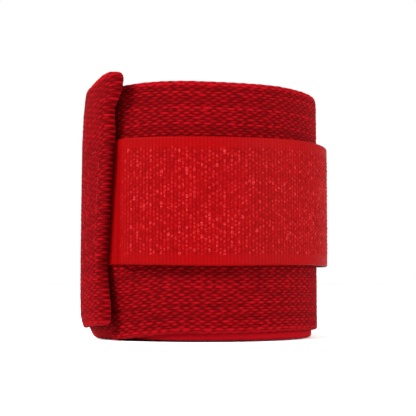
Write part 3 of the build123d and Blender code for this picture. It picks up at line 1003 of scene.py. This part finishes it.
class Shader:
    """Builds one material's nodes."""

    def __init__(self, name):
        self.material = bpy.data.materials.new(name)
        self.material.use_nodes = True
        self.tree = self.material.node_tree
        self.main = self.tree.nodes["Principled BSDF"]
        given = self.node("ShaderNodeAttribute")
        given.attribute_name = "cloth"
        self.cloth = given.outputs["Vector"]
        split = self.node("ShaderNodeSeparateXYZ", Vector=self.cloth)
        _, self.run, self.tone = split.outputs

    def node(self, kind, **inputs):
        """Adds a node, with its inputs given as values or as other nodes' outputs."""
        made = self.tree.nodes.new(kind)
        for name, value in inputs.items():
            self.set(made, name.replace("_", " "), value)
        return made

    def set(self, node, name, value):
        """Sets or links one input."""
        socket = node.inputs[name]
        if isinstance(value, bpy.types.NodeSocket):
            self.tree.links.new(value, socket)
        else:
            socket.default_value = value

    def math(self, operation, a, b=0.0, c=0.0):
        """A sum on numbers."""
        made = self.node("ShaderNodeMath")
        made.operation = operation
        for number, value in enumerate((a, b, c)):
            self.set(made, number, value)
        return made.outputs[0]

    def spread(self, value, low, high):
        """Takes a value from 0 to 1 to one from low to high."""
        return self.math("MULTIPLY_ADD", value, high - low, low)

    def noise(self, scale, along=1.0, across=1.0, detail=3.0):
        """Noise over the cloth, in units of a millimetre."""
        made = self.node("ShaderNodeVectorMath", Vector=self.cloth)
        made.operation = "MULTIPLY"
        made.inputs[1].default_value = (along, across, 0.0)
        found = self.node("ShaderNodeTexNoise", Vector=made.outputs[0], Scale=scale, Detail=detail)
        return found.outputs[0]

    def blotches(self, scale):
        """Slow noise through space."""
        place = self.node("ShaderNodeTexCoord").outputs["Object"]
        return self.node("ShaderNodeTexNoise", Vector=place, Scale=scale, Detail=2.0).outputs[0]

    def yarns(self, pitch):
        """A random number for each yarn."""
        number = self.math("FLOOR", self.math("DIVIDE", self.run, pitch))
        made = self.node("ShaderNodeTexWhiteNoise")
        made.noise_dimensions = "1D"
        self.set(made, "W", number)
        return made.outputs[0]

    def mix(self, share, low, high):
        """A colour between two."""
        made = self.node("ShaderNodeMix")
        made.data_type = "RGBA"
        self.set(made, 0, share)
        for number, value in ((6, low), (7, high)):
            linked = isinstance(value, bpy.types.NodeSocket)
            self.set(made, number, value if linked else (*value, 1.0))
        return made.outputs[2]

    def scale(self, colour, amount):
        """A colour made lighter or darker."""
        made = self.node("ShaderNodeVectorMath")
        made.operation = "SCALE"
        self.set(made, 0, colour)
        self.set(made, "Scale", amount)
        return made.outputs[0]

    def finish(self, colour, roughness, bump, depth, **extra):
        """Links the main shader's colour, roughness and bump."""
        self.set(self.main, "Base Color", colour)
        self.set(self.main, "Roughness", roughness)
        raised = self.node("ShaderNodeBump", Height=bump, Strength=1.0, Distance=depth)
        self.set(self.main, "Normal", raised.outputs[0])
        for name, value in extra.items():
            self.set(self.main, name.replace("_", " "), value)
        return self.material


def cotton():
    """Dyed cotton yarn: fibres along each yarn, yarns of slightly different depths, faint wear. The
    weave's low points are painted dark as painted shade and its crests painted light as a painted
    highlight.
    """
    m = Shader("cotton")
    fibres = m.noise(1.0, along=1.4, across=16.0, detail=4.0)
    # Painted shade in the weave's hollows and a painted highlight on its crests, both taken from the
    # yarn's height.
    colour = m.mix(m.tone, COTTON_GAP_SHADE, COTTON)
    colour = m.mix(m.math("POWER", m.tone, 4.0), colour, COTTON_CREST_HIGHLIGHT)
    shade = m.spread(fibres, 0.72, 1.28)
    shade = m.math("MULTIPLY", shade, m.spread(m.yarns(WARP_PITCH / MM), 0.88, 1.12))
    shade = m.math("MULTIPLY", shade, m.spread(m.blotches(90.0), 0.86, 1.14))
    lint = m.math("GREATER_THAN", m.noise(5.0, along=1.0, across=2.0, detail=1.0), 0.79)
    colour = m.mix(m.math("MULTIPLY", lint, 0.5), m.scale(colour, shade), LINT)
    extra = {"Sheen_Weight": 0.1, "Sheen_Roughness": 0.5, "Specular_IOR_Level": 0.02}
    extra["Sheen_Tint"] = (1.0, 0.03, 0.05, 1.0)
    return m.finish(colour, m.spread(fibres, 0.75, 0.98), fibres, 0.00006, **extra)


def tape(name, gap_shade, face, crest, roughness):
    """Nylon tape: smoother, with its low points painted dark as painted shade, lighter ribs as a
    painted highlight, and the roots of the hooks lightest, with painted glints where the tone is
    highest.
    """
    m = Shader(name)
    fibres = m.noise(1.0, along=14.0, across=3.0)
    # Painted shade: the tone mixes the deep colour into the tape's low points.
    colour = m.mix(m.math("MULTIPLY", m.tone, 1.4), gap_shade, face)
    # Painted glints: where the tone is highest, patches of noise take the crest colour, standing in
    # for light caught on the nylon.
    raised = m.math("MULTIPLY", m.math("SUBTRACT", m.tone, 0.66), 1.2)
    glint = m.math("GREATER_THAN", m.noise(5.5, detail=1.0), 0.58)
    lit = m.math("MULTIPLY", m.math("MAXIMUM", raised, 0.0), m.spread(glint, 0.14, 3.0))
    colour = m.mix(m.math("MINIMUM", lit, 1.0), colour, crest)
    shade = m.math("MULTIPLY", m.spread(fibres, 0.8, 1.2), m.spread(m.blotches(120.0), 0.9, 1.1))
    rough = m.math("MULTIPLY", m.spread(fibres, 0.85, 1.15), roughness)
    return m.finish(m.scale(colour, shade), rough, fibres, 0.00004, Specular_IOR_Level=0.015)


def fine(name, face, spread, roughness, transmission=0.0):
    """Thread, pile or hooks: one colour, a little different from one to the next."""
    m = Shader(name)
    each = m.yarns(TUBE_SPACING)
    fibres = m.noise(4.0, along=6.0, across=1.0)
    shade = m.spread(each, 1 - spread, 1 + spread)
    shade = m.math("MULTIPLY", shade, m.spread(fibres, 0.85, 1.15))
    colour = m.scale(face, shade)
    rough = m.math("MULTIPLY", m.spread(fibres, 0.85, 1.15), roughness)
    extra = {"Transmission_Weight": transmission, "Specular_IOR_Level": 0.1}
    return m.finish(colour, rough, fibres, 0.00003, **extra)


# The cotton's colours: painted shade for the weave's hollows, its own red, a painted highlight for its
# crests, and lint.
COTTON_GAP_SHADE = (0.024, 0.0, 0.0002)
COTTON = (0.112, 0.0002, 0.0009)
COTTON_CREST_HIGHLIGHT = (0.19, 0.0012, 0.0034)
LINT = (0.22, 0.026, 0.03)

cotton_material = cotton()
# For each tape: a deep colour that is painted shade in its low points, its own red, and a light colour
# for painted glints.
STRAP_GAP_SHADE = (0.06, 0.0, 0.0002)
STRAP_RED = (0.182, 0.0008, 0.0014)
STRAP_GLINT = (0.36, 0.03, 0.037)
LOOP_GAP_SHADE = (0.06, 0.0, 0.0004)
LOOP_RED = (0.19, 0.0008, 0.0018)
LOOP_CREST_GLINT = (0.28, 0.008, 0.012)
strap_material = tape("strap_nylon", STRAP_GAP_SHADE, STRAP_RED, STRAP_GLINT, 0.42)
loop_material = tape("loop_tape", LOOP_GAP_SHADE, LOOP_RED, LOOP_CREST_GLINT, 0.6)
thread_material = fine("thread", (0.16, 0.0008, 0.002), 0.12, 0.5)
pile_material = fine("pile", (0.19, 0.001, 0.0025), 0.2, 0.6)
hook_material = fine("hooks", (0.3, 0.006, 0.009), 0.15, 0.3, 0.15)

named = {
    "cotton": (cotton_material, [piece for piece, _ in band_pieces]),
    "hook_tape": (strap_material, [piece for piece, _ in strap_pieces]),
    "loop_tape": (loop_material, [thumb_loop]),
    "thread": (thread_material, [patch_thread, hem_thread, root_thread, tack_thread]),
    "pile": (pile_material, [patch, pile]),
    "hooks": (hook_material, hook_pieces),
}
for slot, (material, pieces) in named.items():
    for piece in pieces:
        piece.data.materials.append(material)

# ---- Floor, light and camera ----------------------------------------------------------------

FLOOR_GAP = 0.08 * MM
bpy.ops.mesh.primitive_plane_add(size=6, location=(0, 0, -FLOOR_GAP))
floor = bpy.context.object
floor.name = "floor"
floor_material = bpy.data.materials.new("floor")
floor_material.use_nodes = True
floor_main = floor_material.node_tree.nodes["Principled BSDF"]
floor_main.inputs["Base Color"].default_value = (0.98, 0.98, 0.98, 1)
floor_main.inputs["Roughness"].default_value = 1.0
floor_main.inputs["Specular IOR Level"].default_value = 0.1
floor.data.materials.append(floor_material)

world = bpy.data.worlds.new("studio")
world.use_nodes = True
world.node_tree.nodes["Background"].inputs["Color"].default_value = (1, 1, 1, 1)
world.node_tree.nodes["Background"].inputs["Strength"].default_value = 1.0
bpy.context.scene.world = world


LIT_POINT = Vector((0, 0, 0.03))


def area_light(name, place, size, power):
    """A soft square light aimed at the middle of the roll."""
    data = bpy.data.lights.new(name, "AREA")
    data.size = size
    data.energy = power
    made = bpy.data.objects.new(name, data)
    made.location = place
    made.rotation_euler = (LIT_POINT - Vector(place)).to_track_quat("-Z", "Y").to_euler()
    bpy.context.scene.collection.objects.link(made)


area_light("key", place=(-0.48, -0.36, 0.42), size=0.26, power=9.9)
area_light("fill", place=(0.52, -0.30, 0.18), size=0.4, power=5.8)

camera_data = bpy.data.cameras.new("camera")
camera_data.sensor_width = 36
camera_data.lens = 101.5
camera = bpy.data.objects.new("camera", camera_data)
camera.location = (1.34 * MM, -257 * MM, 12.3 * MM)
CAMERA_PITCH = math.radians(3.5)
camera.rotation_euler = (math.radians(90) + CAMERA_PITCH, 0, 0)
bpy.context.scene.collection.objects.link(camera)
bpy.context.scene.camera = camera
bpy.context.scene.view_settings.view_transform = "Standard"
